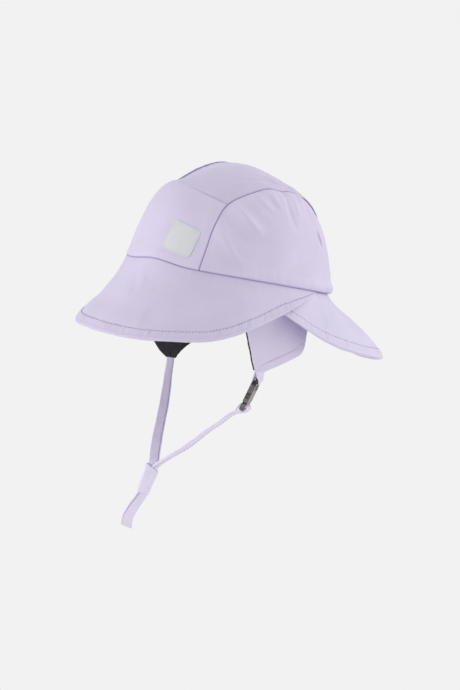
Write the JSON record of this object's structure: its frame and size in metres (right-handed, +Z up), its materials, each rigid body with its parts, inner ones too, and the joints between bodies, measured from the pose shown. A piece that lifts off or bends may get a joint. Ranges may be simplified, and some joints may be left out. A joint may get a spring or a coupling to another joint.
{
  "type": "rain bucket hat with neck flap, ear flaps and chin strap",
  "caption": "Child's coated rain hat: panelled crown, bell-shaped front brim, neck flap, fleece-lined ear flaps and clipped chin strap.",
  "frame": {"origin": "middle of the head opening, at the seam between crown and brim", "axes": "+Z up, -Y to the front of the hat, +X to the wearer's left; the hat is pitched front up as worn"},
  "size_m": [0.1874, 0.2653, 0.2988],
  "materials": {
    "panel_cloth": "pale lavender coated cloth, matt with a soft sheen",
    "crown_cloth": "pale lavender coated cloth, matt with a soft sheen",
    "brim_cloth": "pale lavender coated cloth, topstitched along the hem",
    "flap_cloth": "pale lavender coated cloth, topstitched along the hem",
    "strap_cloth": "pale lavender folded cloth tape",
    "fleece": "charcoal brushed fleece",
    "reflective": "silver-grey reflective film, bare",
    "clip_plastic": "dark warm grey moulded plastic"
  },
  "bodies": {
    "root": {"crown_front_panel": "panel_cloth", "crown_top_panel": "crown_cloth", "crown_side_panel_left": "panel_cloth", "crown_side_panel_right": "panel_cloth", "front_brim": "brim_cloth", "neck_flap": "panel_cloth", "ear_flap_left": "flap_cloth", "ear_flap_right": "flap_cloth", "ear_lining_left": "fleece", "ear_lining_right": "fleece", "reflective_patch": "reflective", "clip_tape": "strap_cloth", "clip_socket": "clip_plastic", "clip_plug": "clip_plastic", "chin_strap_left": "strap_cloth", "chin_strap_right": "strap_cloth", "strap_keeper": "strap_cloth"}
  },
  "joints": []
}
